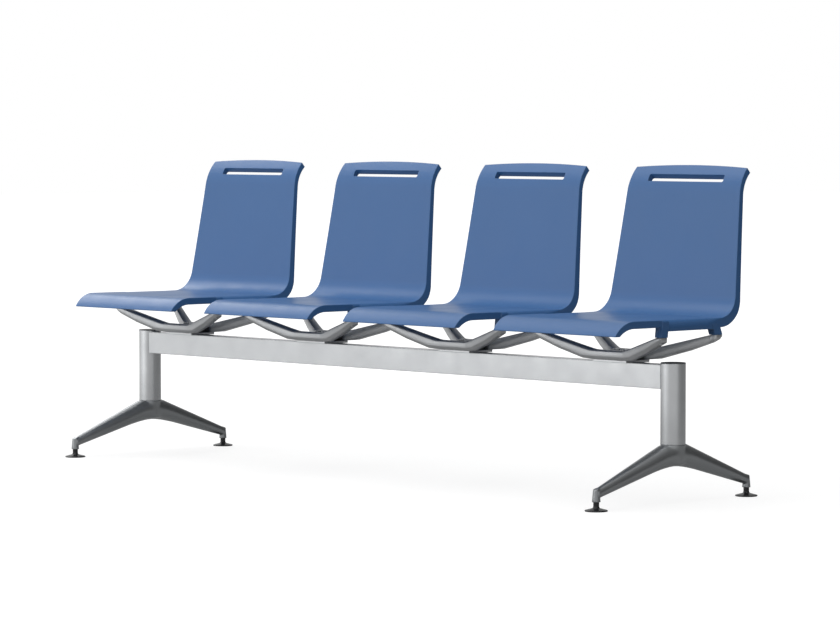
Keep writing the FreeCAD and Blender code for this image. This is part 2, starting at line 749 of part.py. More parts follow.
def glide(side, hand, end, way):
    """Levelling glide: a steel stem moulded into a flared plastic foot."""
    x = "%s dims.column_x" % hand
    y = "%s dims.glide_y" % way
    place = "%s_%s" % (end, side)
    turned("glide_pad_" + place, x, y, [
        ("dims.stem_radius", 4.0),
        ("dims.stem_radius", "dims.socket_low_z"),
        ("dims.glide_neck_radius", "dims.socket_low_z"),
        ("dims.glide_neck_radius", 12.5, 6.0, 1),
        (9.4, 7.6),
        (25.4, 3.5, 2.2, -1),
        ("dims.glide_radius", 1.4),
        ("dims.glide_radius - 0.9", 0.0),
        (0.0, 0.0),
        (0.0, 4.0),
    ])
    turned("glide_stem_" + place, x, y, [
        (0.0, 4.0),
        ("dims.stem_radius", 4.0),
        ("dims.stem_radius", 42.0),
        ("dims.stem_radius - 1.2", 43.2),
        (0.0, 43.2),
    ])


def rivet_nuts():
    nuts = new_body("rivet_nuts")
    ring = sketch_on(nuts, "XY_Plane", "rivet_nut_barrels", 316.0)
    rounds(ring, HUB_BOLTS, 6.5)
    rounds(ring, HUB_BOLTS, 4.0)
    pad(nuts, ring, "rivet_nut_barrel", "dims.beam_high_z - 316")
    collar = sketch_on(nuts, "XY_Plane", "rivet_nut_collars", "dims.beam_high_z")
    rounds(collar, HUB_BOLTS, 8.3)
    rounds(collar, HUB_BOLTS, 4.0)
    pad(nuts, collar, "rivet_nut_collar", 1.2)


# One seat, one column with its foot and one glide are modelled; the others repeat them.
seat_shell(1, SEATS[0])
spider(1, SEATS[0])
seat_fixings(1, SEATS[0])
for piece in list(PIECES):
    for number in (2, 3, 4):
        repeat(piece, piece.Label[:-1] + str(number), SEATS[number - 1])

ends = len(PIECES)
column("left", "-")
foot("left", "-")
for piece in PIECES[ends:]:
    repeat(piece, piece.Label.replace("left", "right"), "dims.column_x")

ends = len(PIECES)
glide("left", "-", "front", "-")
for piece in PIECES[ends:]:
    stem = piece.Label[:-len("front_left")]
    repeat(piece, stem + "rear_left", "-dims.column_x", "dims.glide_y")
    repeat(piece, stem + "front_right", "dims.column_x", "-dims.glide_y")
    repeat(piece, stem + "rear_right", "dims.column_x", "dims.glide_y")

beam()
rivet_nuts()

DOC.recompute()
for item in DOC.Objects:
    if "Invalid" in item.State or "Error" in item.State:
        raise ValueError("%s failed: %s" % (item.Name, item.State))
os.makedirs("parts", exist_ok=True)
shapes = [(piece.Label, Part.getShape(piece)) for piece in PIECES]
for label, shape in shapes:
    if shape.isNull() or not shape.isValid():
        raise ValueError(label + " has no valid shape")
for label, shape in shapes:
    shape.exportStep("parts/%s.step" % label)
print(len(shapes), "pieces written")
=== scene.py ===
import json
import math

import bpy
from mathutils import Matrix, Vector


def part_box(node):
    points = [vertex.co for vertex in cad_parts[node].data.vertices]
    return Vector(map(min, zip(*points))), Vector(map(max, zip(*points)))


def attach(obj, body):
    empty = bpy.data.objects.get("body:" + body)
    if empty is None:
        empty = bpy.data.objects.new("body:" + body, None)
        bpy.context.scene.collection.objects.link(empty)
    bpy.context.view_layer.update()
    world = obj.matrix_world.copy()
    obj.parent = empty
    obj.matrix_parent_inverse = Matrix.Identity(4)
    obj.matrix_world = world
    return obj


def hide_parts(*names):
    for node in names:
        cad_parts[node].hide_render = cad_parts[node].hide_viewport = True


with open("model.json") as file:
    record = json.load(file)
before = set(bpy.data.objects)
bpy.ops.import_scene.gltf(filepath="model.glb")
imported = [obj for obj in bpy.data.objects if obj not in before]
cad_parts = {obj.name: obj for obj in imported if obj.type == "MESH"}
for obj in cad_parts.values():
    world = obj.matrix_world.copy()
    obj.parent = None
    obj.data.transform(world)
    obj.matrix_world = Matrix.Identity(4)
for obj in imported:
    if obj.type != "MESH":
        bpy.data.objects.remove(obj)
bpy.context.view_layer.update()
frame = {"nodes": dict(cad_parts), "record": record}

# Beam seating for a waiting area: four moulded shells on one beam between two columns.
# Lengths are in metres, except where a comment says millimetres.

SEATS = (1, 2, 3, 4)
SIDES = ("left", "right")
# Two points that are closer than this are taken as one.
CLOSE = 0.00005

# The photographer's place.
VIEW_TARGET = Vector((0.0, 0.0977, 0.4111))
VIEW_AZIMUTH = math.radians(46.627)
VIEW_ELEVATION = math.radians(2.942)
VIEW_DISTANCE = 9.734
VIEW_LENS = 161.41

# The floor's own glow for the eye: this much under the object, and full white further out.
FLOOR_LIFT = 0.79
FLOOR_NEAR, FLOOR_FAR = 1.6, 4.0
# The floor's glow in a mirror, under the object; further out a mirror shows the room.
NEAR_FLOOR = 0.12
FLOOR_PALE = (0.26, 0.26, 0.26, 1.0)
FLOOR_DULL = (0.25, 0.25, 0.25, 1.0)

# The room's pale side, and how bright the room is from the far side, 0, round to that one, 1.
BRIGHT_SIDE = (-0.469, -0.883, 0.0)
ROOM_STEPS = (
    (0.0, 0.03), (0.07, 0.04), (0.22, 0.12), (0.33, 0.30), (0.45, 0.35),
    (0.885, 0.36), (0.905, 0.45), (0.961, 0.58), (0.984, 0.70), (1.0, 0.82),
)
ROOM_LEVEL = 1.9

# Soft boxes: place, aim, width, height, power, and whether metal and plastic mirror the box.
LAMPS = {
    "key": ((-2.6, -5.2, 2.7), (0.0, 0.0, 0.5), 5.5, 3.0, 85.0, False),
    "low": ((-1.9, -5.2, 0.6), (0.0, 0.0, 0.35), 3.2, 1.0, 30.0, False),
    "side": ((-5.0, 0.6, 3.2), (0.0, 0.0, 0.5), 3.0, 2.0, 50.0, True),
    "back": ((2.6, 5.0, 3.0), (0.0, 0.0, 0.5), 4.0, 2.5, 45.0, False),
    "top": ((-0.3, -0.8, 4.5), (0.0, 0.0, 0.4), 5.0, 4.0, 75.0, True),
}

# Finishes, as screen colours in plain light.
BLUE = (52, 96, 148)
BLUE_WORN = (96, 130, 172)
CAST_GREY = (160, 163, 165)
CAST_DARK = (128, 131, 134)
# The spider is the same cast aluminium as the feet, painted lighter: painted light for the front
# light on its faces.
SPIDER_GREY_PAINTED_LIT = (190, 192, 194)
SPIDER_DARK_PAINTED_LIT = (158, 160, 162)
TUBE_SILVER = (198, 200, 202)
METAL_WORN = (214, 216, 217)
CAP_GREY = (52, 54, 57)
SOFT_BLACK = (27, 28, 30)
BLACK_WORN = (70, 71, 74)
ZINC = (166, 169, 173)


def middle(node):
    """Middle of a node's box."""
    low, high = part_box(node)
    return (low + high) / 2


def linear(colour):
    """Screen colour, 0 to 255, as a linear colour for a shader."""
    parts = [c / 255 for c in colour]
    parts = [c / 12.92 if c <= 0.04045 else ((c + 0.055) / 1.055) ** 2.4 for c in parts]
    return (*parts, 1.0)


# Building materials. The numbers x and y lay a node out in its tree.


def add_node(tree, kind, x, y, **values):
    """One node with its plain settings."""
    node = tree.nodes.new(kind)
    node.location = (x, y)
    for name, value in values.items():
        setattr(node, name, value)
    return node


def join(tree, a, output, b, socket):
    tree.links.new(a.outputs[output], b.inputs[socket])


def noise(tree, x, y, scale, detail=3.0, roughness=0.55, stretch=(1.0, 1.0, 1.0)):
    """Noise on the object's own coordinates; scale is in grains to the metre."""
    place = add_node(tree, "ShaderNodeTexCoord", x - 400, y)
    mapping = add_node(tree, "ShaderNodeMapping", x - 200, y)
    mapping.inputs["Scale"].default_value = stretch
    texture = add_node(tree, "ShaderNodeTexNoise", x, y)
    texture.inputs["Scale"].default_value = scale
    texture.inputs["Detail"].default_value = detail
    texture.inputs["Roughness"].default_value = roughness
    join(tree, place, "Object", mapping, "Vector")
    join(tree, mapping, "Vector", texture, "Vector")
    return texture


def band(tree, source, output, x, y, low, high, to_low=0.0, to_high=1.0):
    """Stretches the part low..high of a value to to_low..to_high, and clamps it."""
    node = add_node(tree, "ShaderNodeMapRange", x, y)
    node.inputs["From Min"].default_value = low
    node.inputs["From Max"].default_value = high
    node.inputs["To Min"].default_value = to_low
    node.inputs["To Max"].default_value = to_high
    join(tree, source, output, node, "Value")
    return node


def blend_colours(tree, x, y, factor, first, second):
    """Mix of two colours, each one plain or the output of a node."""
    node = add_node(tree, "ShaderNodeMix", x, y, data_type="RGBA")
    join(tree, factor, 0, node, 0)
    for socket, colour in ((6, first), (7, second)):
        if isinstance(colour, tuple):
            node.inputs[socket].default_value = colour
        else:
            tree.links.new(colour, node.inputs[socket])
    return node.outputs[2]


def worn_edges(tree, radius, amount):
    """Mask of the edges that hands, shoes and cleaning rub: 0 on flats, amount on a rubbed edge."""
    soft = add_node(tree, "ShaderNodeBevel", -900, -500, samples=4)
    soft.inputs["Radius"].default_value = radius
    flat = add_node(tree, "ShaderNodeNewGeometry", -900, -700)
    angle = add_node(tree, "ShaderNodeVectorMath", -700, -600, operation="DOT_PRODUCT")
    join(tree, soft, "Normal", angle, 0)
    join(tree, flat, "Normal", angle, 1)
    edge = band(tree, angle, "Value", -500, -600, 0.995, 0.86)
    patches = noise(tree, -500, -900, scale=38.0, detail=4.0)
    rubbed = band(tree, patches, 0, -300, -900, 0.38, 0.62, 0.25, amount)
    mask = add_node(tree, "ShaderNodeMath", -100, -700, operation="MULTIPLY")
    join(tree, edge, 0, mask, 0)
    join(tree, rubbed, 0, mask, 1)
    return mask, soft


def new_material(name):
    """A material, its tree and its shader."""
    material = bpy.data.materials.new(name)
    material.use_nodes = True
    tree = material.node_tree
    return material, tree, tree.nodes["Principled BSDF"]


def finish_surface(tree, shader, colour, rough, bump, bump_depth, soft_edge):
    """Connects colour, roughness, bump and softened edges to the shader."""
    tree.links.new(colour, shader.inputs["Base Color"])
    join(tree, rough, 0, shader, "Roughness")
    relief = add_node(tree, "ShaderNodeBump", 200, -400)
    relief.inputs["Strength"].default_value = 1.0
    relief.inputs["Distance"].default_value = bump_depth
    join(tree, bump, 0, relief, "Height")
    join(tree, soft_edge, "Normal", relief, "Normal")
    join(tree, relief, "Normal", shader, "Normal")


def moulded_plastic(name, colour, worn, rough, grain=1500.0, depth=0.00006):
    """Grained moulding: even colour, fine spark texture, softly polished where it is rubbed."""
    material, tree, shader = new_material(name)
    shader.inputs["Specular IOR Level"].default_value = 0.5
    cloudy = noise(tree, -500, 500, scale=5.0, detail=4.0)
    tone = band(tree, cloudy, 0, -300, 500, 0.3, 0.7, 0.0, 0.12)
    fine = noise(tree, -500, 200, scale=grain, detail=2.0)
    speck = band(tree, fine, 0, -300, 200, 0.35, 0.7, 0.0, 0.10)
    darker = tuple(c * 0.72 for c in linear(colour)[:3]) + (1.0,)
    base = blend_colours(tree, -100, 500, tone, linear(colour), darker)
    base = blend_colours(tree, 50, 400, speck, base, linear(worn))
    mask, soft = worn_edges(tree, radius=0.0016, amount=0.6)
    base = blend_colours(tree, 200, 300, mask, base, linear(worn))
    rubbed = noise(tree, -500, -150, 14.0, 5.0, 0.6, stretch=(1.0, 0.35, 1.0))
    gloss = band(tree, rubbed, 0, -300, -150, 0.3, 0.7, rough + 0.07, rough - 0.05)
    finish_surface(tree, shader, base, gloss, fine, depth, soft)
    return material


def metal_finish(
    name, colour, shade, rough, metallic, grain, depth,
    flecks=0.22, edge=0.5, edge_radius=0.0012,
):
    """Painted or bare metal: flecks, fine relief, and a brighter line on rubbed edges."""
    material, tree, shader = new_material(name)
    shader.inputs["Metallic"].default_value = metallic
    worn = linear(METAL_WORN)
    cloudy = noise(tree, -500, 500, scale=7.0, detail=4.0)
    tone = band(tree, cloudy, 0, -300, 500, 0.35, 0.7, 0.0, 0.22)
    fine = noise(tree, -500, 200, scale=grain, detail=2.0, roughness=0.6)
    fleck = band(tree, fine, 0, -300, 200, 0.45, 0.75, 0.0, flecks)
    base = blend_colours(tree, -100, 500, tone, linear(colour), linear(shade))
    base = blend_colours(tree, 50, 400, fleck, base, worn)
    mask, soft = worn_edges(tree, edge_radius, edge)
    base = blend_colours(tree, 200, 300, mask, base, worn)
    smears = noise(tree, -500, -150, scale=22.0, detail=5.0, roughness=0.6)
    gloss = band(tree, smears, 0, -300, -150, 0.3, 0.7, rough - 0.03, rough + 0.05)
    finish_surface(tree, shader, base, gloss, fine, depth, soft)
    return material


# One material for each finish, and for the spiders a lighter copy of the cast aluminium, which is
# painted light.
blue_shell = moulded_plastic("blue_shell", BLUE, BLUE_WORN, rough=0.34)
cast_metal = metal_finish(
    "cast_aluminium", CAST_GREY, CAST_DARK,
    rough=0.32, metallic=0.85, grain=700.0, depth=0.00002, flecks=0.12,
)
# A lit copy of the cast aluminium for the spiders: its lighter colour is painted light.
spider_metal_painted_lit = metal_finish(
    "cast_spider", SPIDER_GREY_PAINTED_LIT, SPIDER_DARK_PAINTED_LIT,
    rough=0.33, metallic=0.7, grain=700.0, depth=0.00002, flecks=0.12,
)
silver_paint = metal_finish(
    "silver_tube", TUBE_SILVER, CAST_GREY,
    rough=0.20, metallic=0.75, grain=1600.0, depth=0.000003,
    flecks=0.05, edge=0.2, edge_radius=0.0025,
)
dark_cap = moulded_plastic("dark_cap", CAP_GREY, BLACK_WORN, rough=0.45)
black_glide = moulded_plastic(
    "black_glide", SOFT_BLACK, BLACK_WORN, rough=0.22, grain=900.0, depth=0.00003
)
# The black block stands for the hub's side that lies in shadow between the bows: its black is
# painted shade.
black_block = moulded_plastic("black_block", SOFT_BLACK, BLACK_WORN, rough=0.55)
zinc_plate = metal_finish(
    "zinc_steel", ZINC, CAST_DARK, rough=0.22, metallic=1.0, grain=500.0, depth=0.00002
)

SLOTS = {
    "blue_shell": blue_shell,
    "cast_aluminium": cast_metal,
    "silver_tube": silver_paint,
    "dark_cap": dark_cap,
    "black_glide": black_glide,
    "black_block": black_block,
    "zinc_steel": zinc_plate,
}


def paint(piece, material):
    piece.data.materials.clear()
    piece.data.materials.append(material)


# Every node takes the finish that the record names for it.
for entry in frame["record"]["subparts"]:
    paint(frame["nodes"][entry["node"]], SLOTS[entry["material_slot"]])


# Making pieces.


def clear_selection():
    if bpy.context.object and bpy.context.object.mode != "OBJECT":
        bpy.ops.object.mode_set(mode="OBJECT")
    bpy.ops.object.select_all(action="DESELECT")


def only(piece):
    """Makes one piece the selected and active one."""
    clear_selection()
    piece.select_set(True)
    bpy.context.view_layer.objects.active = piece


def remove(piece):
    only(piece)
    bpy.ops.object.delete()


def start_picking(piece, kind):
    """Opens a piece for edits by edges or by faces, with nothing selected."""
    only(piece)
    bpy.ops.object.mode_set(mode="EDIT")
    bpy.ops.mesh.select_mode(type=kind)
    bpy.ops.mesh.select_all(action="DESELECT")


def pick_edges(piece, test):
    """Selects the edges whose two ends pass the test, and leaves the piece in edit mode."""
    start_picking(piece, "EDGE")
    bpy.ops.object.mode_set(mode="OBJECT")
    points = piece.data.vertices
    for edge in piece.data.edges:
        a, b = (points[number].co for number in edge.vertices)
        edge.select = test(a, b)
    bpy.ops.object.mode_set(mode="EDIT")


def soften(piece, test, width, segments):
    """Bevels the edges that pass the test."""
    pick_edges(piece, test)
    bpy.ops.mesh.bevel(offset=width, segments=segments, affect="EDGES")
    bpy.ops.object.mode_set(mode="OBJECT")


def smooth_by_angle(piece, degrees):
    only(piece)
    bpy.ops.object.shade_smooth_by_angle(angle=math.radians(degrees))


def apply_modifier(piece, kind, **values):
    """Adds one modifier and applies it."""
    only(piece)
    modifier = piece.modifiers.new(kind.lower(), kind)
    for name, value in values.items():
        setattr(modifier, name, value)
    bpy.ops.object.modifier_apply(modifier=modifier.name)


def combine(piece, operation, other):
    """Adds the other piece to this one, or cuts it away. The other piece goes."""
    apply_modifier(piece, "BOOLEAN", operation=operation, solver="EXACT", object=other)
    remove(other)


def settle(piece):
    """Closes the mesh, turns its faces out and puts its place into the mesh."""
    only(piece)
    bpy.ops.object.transform_apply(location=True, rotation=True, scale=True)
    bpy.ops.object.mode_set(mode="EDIT")
    bpy.ops.mesh.select_all(action="SELECT")
    bpy.ops.mesh.remove_doubles(threshold=0.00001)
    bpy.ops.mesh.normals_make_consistent(inside=False)
    bpy.ops.object.mode_set(mode="OBJECT")


def weld_together(first, *others):
    """Joins pieces into the first one."""
    only(first)
    for other in others:
        other.select_set(True)
    bpy.ops.object.join()
    return first


def copy_of(piece):
    """A copy with its own mesh, in the same place."""
    copy = piece.copy()
    copy.data = piece.data.copy()
    bpy.context.scene.collection.objects.link(copy)
    return copy


def draw_out(bar, centres, scales):
    """Draws a flat face out from centre to centre; scales say how it stands at each one."""
    only(bar)
    bpy.ops.object.transform_apply(location=True, rotation=True, scale=True)
    bpy.ops.object.mode_set(mode="EDIT")
    bpy.ops.mesh.select_all(action="SELECT")
    bpy.ops.transform.resize(value=scales[0], center_override=centres[0])
    for step in range(1, len(centres)):
        stride = centres[step] - centres[step - 1]
        bpy.ops.mesh.extrude_region_move(TRANSFORM_OT_translate={"value": stride})
        growth = [new / old for new, old in zip(scales[step], scales[step - 1])]
        bpy.ops.transform.resize(value=growth, center_override=centres[step])
    bpy.ops.object.mode_set(mode="OBJECT")


def square_bar(name, sections):
    """A bar along X, through sections (x, y0, y1, z0, z1) in millimetres."""
    places = [[value / 1000 for value in section] for section in sections]
    centres = [Vector((x, (y0 + y1) / 2, (z0 + z1) / 2)) for x, y0, y1, z0, z1 in places]
    scales = [(1.0, y1 - y0, z1 - z0) for x, y0, y1, z0, z1 in places]
    clear_selection()
    bpy.ops.mesh.primitive_plane_add(size=1.0, location=centres[0], rotation=(0, math.pi / 2, 0))
    bar = bpy.context.object
    bar.name = name
    draw_out(bar, centres, scales)
    return bar


def oval_bar(name, sections):
    """An oval bar along Y, through sections (y, half width, z0, z1) in millimetres."""
    places = [[value / 1000 for value in section] for section in sections]
    centres = [Vector((0.0, y, (z0 + z1) / 2)) for y, half, z0, z1 in places]
    scales = [(half, 1.0, (z1 - z0) / 2) for y, half, z0, z1 in places]
    clear_selection()
    bpy.ops.mesh.primitive_circle_add(
        vertices=48, radius=1.0, fill_type="NGON", location=centres[0],
        rotation=(math.pi / 2, 0, 0),
    )
    bar = bpy.context.object
    bar.name = name
    draw_out(bar, centres, scales)
    return bar


# The spider's two bows, half of each, from the middle to the tip of an arm, in millimetres.
FRONT_BOW = [
    (0.0, -53.0, -26.0, 337.0, 359.7),
    (54.0, -53.4, -26.6, 337.0, 360.2),
    (80.0, -59.4, -33.4, 339.2, 367.1),
    (145.0, -75.4, -49.4, 360.6, 385.6),
    (196.0, -88.0, -62.0, 382.0, 400.2),
    (211.5, -88.0, -62.0, 389.5, 400.2),
]
REAR_BOW = [
    (0.0, 24.0, 53.0, 337.0, 359.7),
    (54.0, 25.0, 54.6, 337.0, 360.2),
    (80.0, 39.1, 68.1, 339.2, 367.1),
    (145.0, 76.8, 103.4, 360.6, 385.6),
    (192.0, 104.0, 129.0, 380.3, 399.1),
    (196.0, 104.0, 129.0, 382.0, 400.2),
    (211.5, 104.0, 129.0, 389.5, 400.2),
]
# The web between the bows, in millimetres.
WEB = [
    (-52.0, -28.0, 26.0, 337.2, 343.0),
    (-46.0, -30.0, 28.0, 337.2, 343.0),
    (46.0, -30.0, 28.0, 337.2, 343.0),
    (52.0, -28.0, 26.0, 337.2, 343.0),
]
# A bow's outer edges: width and segments of the wide bevel below and of the round one above.
LOW_BEVEL = (0.0075, 1)
HIGH_BEVEL = (0.0036, 3)
# A bow's bends: place along X, width and segments.
BENDS = ((0.054, 0.006, 3), (0.196, 0.003, 2))
TIP_BEVEL = (0.0065, 4)
# The sinks from below for the seat screws' heads.
SCREW_PLACES = [(x, y) for x in (-0.199, 0.199) for y in (-0.0755, 0.115)]
SINK_RADIUS, SINK_DEPTH, SINK_MIDDLE = 0.0053, 0.030, 0.372


def half_bow(name, sections, outer):
    """Half a bow; outer is the place in a section of its outer side, 1 or 2."""
    bar = square_bar(name, sections)
    for height, bevel in ((3, LOW_BEVEL), (4, HIGH_BEVEL)):
        corners = [Vector((s[0] / 1000, s[outer] / 1000, s[height] / 1000)) for s in sections]

        def along_corner(*ends):
            return all(any((end - c).length < CLOSE for c in corners) for end in ends)

        soften(bar, along_corner, *bevel)
    for bend, width, segments in BENDS:
        soften(
            bar, lambda a, b: abs(a.x - bend) < CLOSE and abs(b.x - bend) < CLOSE, width, segments
        )
    tip = sections[-1][0] / 1000

    def upright_at_tip(a, b):
        return min(a.x, b.x) > tip - CLOSE and abs(a.y - b.y) < 0.002 and abs(a.z - b.z) > 0.003

    soften(bar, upright_at_tip, *TIP_BEVEL)
    return bar


def mirror_half(half):
    """Opens the half in the middle plane and grows the other half from it."""
    start_picking(half, "FACE")
    bpy.ops.object.mode_set(mode="OBJECT")
    for face in half.data.polygons:
        face.select = abs(face.center.x) < CLOSE and abs(face.normal.x) > 0.9
    bpy.ops.object.mode_set(mode="EDIT")
    bpy.ops.mesh.delete(type="FACE")
    bpy.ops.object.mode_set(mode="OBJECT")
    apply_modifier(half, "MIRROR", use_clip=True, merge_threshold=0.0001)
    settle(half)


def cast_spider():
    """One spider at the middle of the beam: bows, web and the sinks for its four screws."""
    bows = weld_together(half_bow("front_bow", FRONT_BOW, 1), half_bow("rear_bow", REAR_BOW, 2))
    mirror_half(bows)
    apply_modifier(bows, "BEVEL", width=0.0014, segments=2, angle_limit=math.radians(30))
    web = square_bar("web", WEB)
    settle(web)
    apply_modifier(web, "BEVEL", width=0.0008, segments=2, angle_limit=math.radians(38))
    spider = weld_together(bows, web)
    spider.name = "cast_spider"

    sinks = []
    for x, y in SCREW_PLACES:
        clear_selection()
        bpy.ops.mesh.primitive_cylinder_add(
            vertices=32, radius=SINK_RADIUS, depth=SINK_DEPTH, location=(x, y, SINK_MIDDLE)
        )
        sinks.append(bpy.context.object)
    cutter = weld_together(*sinks)
    settle(cutter)
    combine(spider, "DIFFERENCE", cutter)
    smooth_by_angle(spider, 32)
    return spider


# The foot's arms, from the column outwards: y, half width, underside and ridge, in millimetres.
FOOT_ARM = [
    (0.0, 29.0, 89.0, 145.6),
    (18.0, 28.8, 88.0, 145.6),
    (40.0, 26.6, 84.9, 141.3),
    (62.0, 24.9, 80.5, 132.6),
    (80.0, 23.6, 76.4, 125.4),
    (262.5, 10.3, 28.4, 52.8),
]
HUB_RADIUS, HUB_LOW, HUB_TOP = 0.0302, 0.0930, 0.142
SEAT_RADIUS, SEAT_TOP = 0.0305, 0.160
# The round sockets for the glides. Their tops slope like the arms.
SOCKET_Y, SOCKET_LOW, SOCKET_TOP = 0.2625, 0.0215, 0.0550
SOCKET_RADII = (0.0103, 0.0074)
SOCKET_CREST, SOCKET_SLOPE = 0.0528, 0.37
# Where arms and hub run together: beside the ridge, near the column's axis and below its seat,
# each with the length over which it fades.
SEAM_BESIDE = (0.007, 0.008)
SEAM_NEAR = (0.080, 0.032)
SEAM_BELOW = (0.140, 0.008)


def upright(name, y, radii, low, high):
    """A round post; radii are at its foot and at its top."""
    clear_selection()
    bpy.ops.mesh.primitive_cone_add(
        vertices=48, radius1=radii[0], radius2=radii[1], depth=high - low,
        location=(0.0, y, (low + high) / 2),
    )
    bpy.context.object.name = name
    return bpy.context.object


def glide_socket(y):
    """A tapered post whose top is cut to the slope of the arm."""
    socket = upright("socket", y, SOCKET_RADII, SOCKET_LOW, SOCKET_TOP)
    slope = math.copysign(SOCKET_SLOPE, y)
    only(socket)
    bpy.ops.object.mode_set(mode="EDIT")
    bpy.ops.mesh.select_all(action="SELECT")
    bpy.ops.mesh.bisect(
        plane_co=(0.0, y, SOCKET_CREST), plane_no=(0.0, slope, 1.0),
        use_fill=True, clear_outer=True,
    )
    bpy.ops.object.mode_set(mode="OBJECT")
    settle(socket)
    return socket


def share(value):
    """The value kept between 0 and 1."""
    return max(0.0, min(1.0, value))


def mark_seam(foot):
    """Says how much each point of the foot belongs to the seam between arms and hub."""
    seam = foot.vertex_groups.new(name="seam")
    for point in foot.data.vertices:
        away = math.hypot(point.co.x, point.co.y)
        beside = share((abs(point.co.x) - SEAM_BESIDE[0]) / SEAM_BESIDE[1])
        near = share((SEAM_NEAR[0] - away) / SEAM_NEAR[1])
        below = share((SEAM_BELOW[0] - point.co.z) / SEAM_BELOW[1])
        seam.add([point.index], beside * near * below, "REPLACE")


def cast_foot():
    """One foot at the middle: two oval arms, a round hub and the sockets, run together."""
    inward = [(-y, half, low, high) for y, half, low, high in reversed(FOOT_ARM[1:])]
    foot = oval_bar("cast_foot", inward + FOOT_ARM)
    settle(foot)
    hub = upright("hub", 0.0, (HUB_RADIUS, HUB_RADIUS), HUB_LOW, HUB_TOP)
    settle(hub)
    combine(foot, "UNION", hub)
    seat = upright("seat", 0.0, (SEAT_RADIUS, SEAT_RADIUS), HUB_TOP, SEAT_TOP)
    combine(foot, "DIFFERENCE", seat)
    for y in (-SOCKET_Y, SOCKET_Y):
        combine(foot, "UNION", glide_socket(y))

    apply_modifier(foot, "REMESH", mode="VOXEL", voxel_size=0.0013)
    mark_seam(foot)
    apply_modifier(foot, "SMOOTH", factor=0.5, iterations=240, vertex_group="seam")
    apply_modifier(foot, "SMOOTH", factor=0.5, iterations=4)
    apply_modifier(foot, "DECIMATE", ratio=0.3)
    smooth_by_angle(foot, 40)
    return foot


# The rear mouth of the shell's hand slot: how far the upper wall leans there, the heights of the
# mouth's top, of its upper corners and of where the lean begins, its half length and its place.
SLOT_LEAN = Vector((0.0, -0.0024, -0.0044))
SLOT_TOP, SLOT_SIDE, SLOT_FOOT = 0.7733, 0.7698, 0.7600
SLOT_HALF, SLOT_REAR = 0.1245, 0.2370
# Heights and half length of the whole region round the slot.
RIM_LOW, RIM_HIGH, RIM_HALF = 0.75, 0.785, 0.14
# An edge that turns by more than this many degrees stays crisp, round the slot and elsewhere.
SLOT_CREASE, SHELL_CREASE = 9, 28
# The rolled side edge: where it begins to fade and where it is gone, and its round.
ROLL_END, ROLL_OUT = 0.0795, 0.1250
ROLL_RADIUS, ROLL_CENTRE_Z = 0.020, 0.42241
SHELL_EDGE, SHELL_TOP = 0.210, 0.4402
# The block that the cutter is made of, and the share of it that is left where the roll is gone.
BLOCK_WIDTH, BLOCK_HEIGHT, BLOCK_LEFT = 0.030, 0.026, 0.04


def roll_cutter(x, hand):
    """What the rolled edge takes off the shell as it fades out to the rear."""
    length = ROLL_OUT - ROLL_END
    half_way = (ROLL_END + ROLL_OUT) / 2
    corner = x + hand * SHELL_EDGE
    centre_x = corner - hand * ROLL_RADIUS
    clear_selection()
    bpy.ops.mesh.primitive_cube_add(
        size=1.0, scale=(BLOCK_WIDTH, length, BLOCK_HEIGHT),
        location=(centre_x + hand * BLOCK_WIDTH / 2, half_way, ROLL_CENTRE_Z + BLOCK_HEIGHT / 2),
    )
    block = bpy.context.object
    bpy.ops.mesh.primitive_cylinder_add(
        vertices=96, radius=ROLL_RADIUS, depth=length + 0.01,
        location=(centre_x, half_way, ROLL_CENTRE_Z), rotation=(math.pi / 2, 0, 0),
    )
    roll = bpy.context.object
    settle(block)
    settle(roll)
    combine(block, "DIFFERENCE", roll)
    pick_edges(block, lambda a, b: min(a.y, b.y) > ROLL_OUT - 0.0001)
    bpy.ops.transform.resize(
        value=(BLOCK_LEFT, 1.0, BLOCK_LEFT), center_override=(corner, ROLL_OUT, SHELL_TOP)
    )
    bpy.ops.object.mode_set(mode="OBJECT")
    return block


def lean_slot(shell, x):
    """Leans the slot's upper wall, fully above its corners and less and less below them."""
    for point in shell.data.vertices:
        place = point.co
        in_rear_mouth = abs(place.x - x) < SLOT_HALF and place.y > SLOT_REAR
        if in_rear_mouth and SLOT_FOOT < place.z < SLOT_TOP:
            amount = min(1.0, (place.z - SLOT_FOOT) / (SLOT_SIDE - SLOT_FOOT))
            point.co = place + amount * SLOT_LEAN


def crisp_slot(shell, x):
    """Marks the slot's edges as sharp, so that the faces beside it shade evenly."""
    start_picking(shell, "EDGE")
    bpy.ops.mesh.edges_select_sharp(sharpness=math.radians(SLOT_CREASE))
    bpy.ops.object.mode_set(mode="OBJECT")
    points = shell.data.vertices
    for edge in shell.data.edges:
        for number in edge.vertices:
            end = points[number].co
            if not (RIM_LOW < end.z < RIM_HIGH and abs(end.x - x) < RIM_HALF):
                edge.select = False
    bpy.ops.object.mode_set(mode="EDIT")
    bpy.ops.mesh.mark_sharp()
    bpy.ops.object.mode_set(mode="OBJECT")


def finished_shell():
    """Copy of the first shell, with the slot's upper wall leaning and the rolled edge faded."""
    shell = copy_of(frame["nodes"]["seat_shell_1"])
    shell.parent = None
    settle(shell)
    x = middle("seat_shell_1").x
    lean_slot(shell, x)
    for hand in (-1, 1):
        combine(shell, "DIFFERENCE", roll_cutter(x, hand))
    smooth_by_angle(shell, SHELL_CREASE)
    crisp_slot(shell, x)
    apply_modifier(shell, "WEIGHTED_NORMAL", weight=100, keep_sharp=True)
    return shell


def stand_in(pattern, name, node, x, material):
    """A copy of a finished piece, moved along the beam to take the place of one node."""
    piece = copy_of(pattern)
    piece.name = name
    piece.location = (x, 0.0, 0.0)
    only(piece)
    bpy.ops.object.transform_apply(location=True, rotation=True, scale=True)
    paint(piece, material)
    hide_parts(node)
    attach(piece, "frame")


